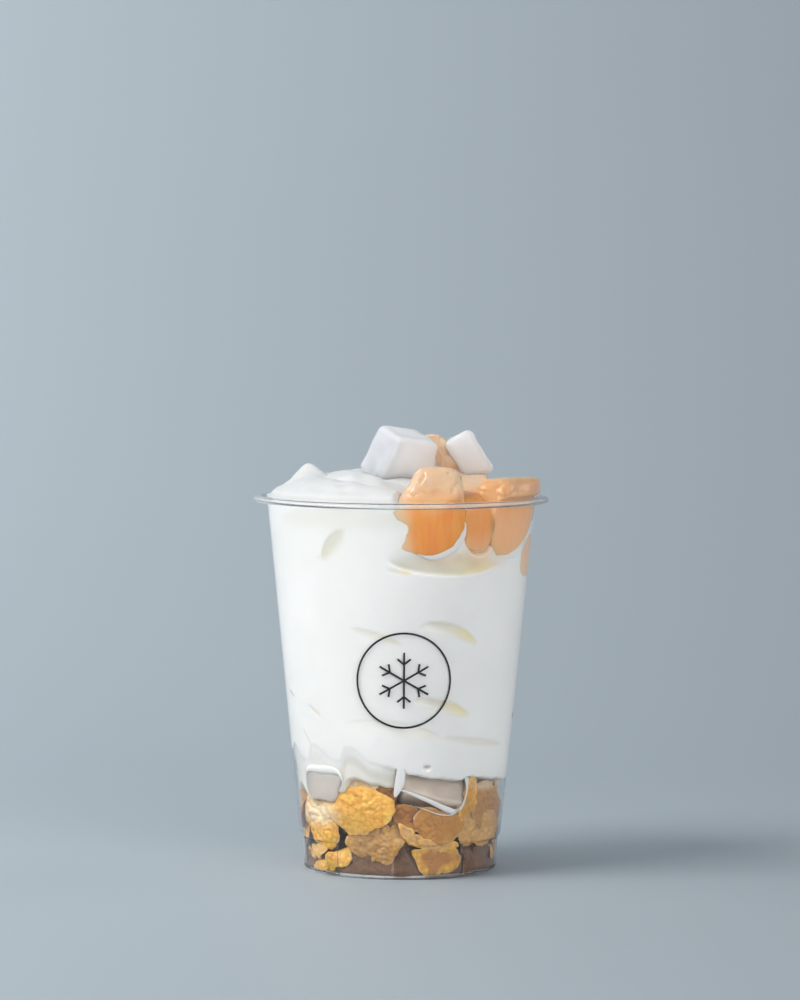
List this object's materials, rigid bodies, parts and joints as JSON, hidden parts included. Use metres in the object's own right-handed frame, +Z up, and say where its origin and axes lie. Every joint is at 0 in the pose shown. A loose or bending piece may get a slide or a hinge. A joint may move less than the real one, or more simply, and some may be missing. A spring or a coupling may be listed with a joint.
{
  "type": "panna cotta ice cream cup",
  "caption": "Clear tapered plastic cup of soft ice cream over cornflakes, with panna cotta cubes and wet peach pieces low in the cup and heaped above its rolled rim.",
  "frame": {"origin": "centre of the cup's standing ring, on the surface that it stands on", "axes": "+Z up the cup's axis, -Y to the pictured front, +X to the picture's right"},
  "size_m": [0.092, 0.092, 0.1383],
  "materials": {
    "clear_plastic": "clear thin moulded plastic, glossy",
    "ice_cream": "white soft ice cream, satin, slightly moist",
    "panna_cotta": "milky translucent gel, wet",
    "peach": "orange fruit flesh in syrup, translucent, wet",
    "cornflakes": "toasted golden flakes, dry, blistered",
    "ink": "thin black printed line ornament, satin"
  },
  "bodies": {
    "root": {"cup": "clear_plastic", "ice_cream": "ice_cream", "cornflakes": "cornflakes", "panna_cotta_top_left": "panna_cotta", "panna_cotta_top_right": "panna_cotta", "panna_cotta_low_left": "panna_cotta", "panna_cotta_low_right": "panna_cotta", "panna_cotta_low_side": "panna_cotta", "panna_cotta_low_back": "panna_cotta", "panna_cotta_low_far": "panna_cotta", "peach_front": "peach", "peach_right": "peach", "peach_low": "peach", "peach_middle": "peach", "peach_side": "peach"}
  },
  "joints": []
}
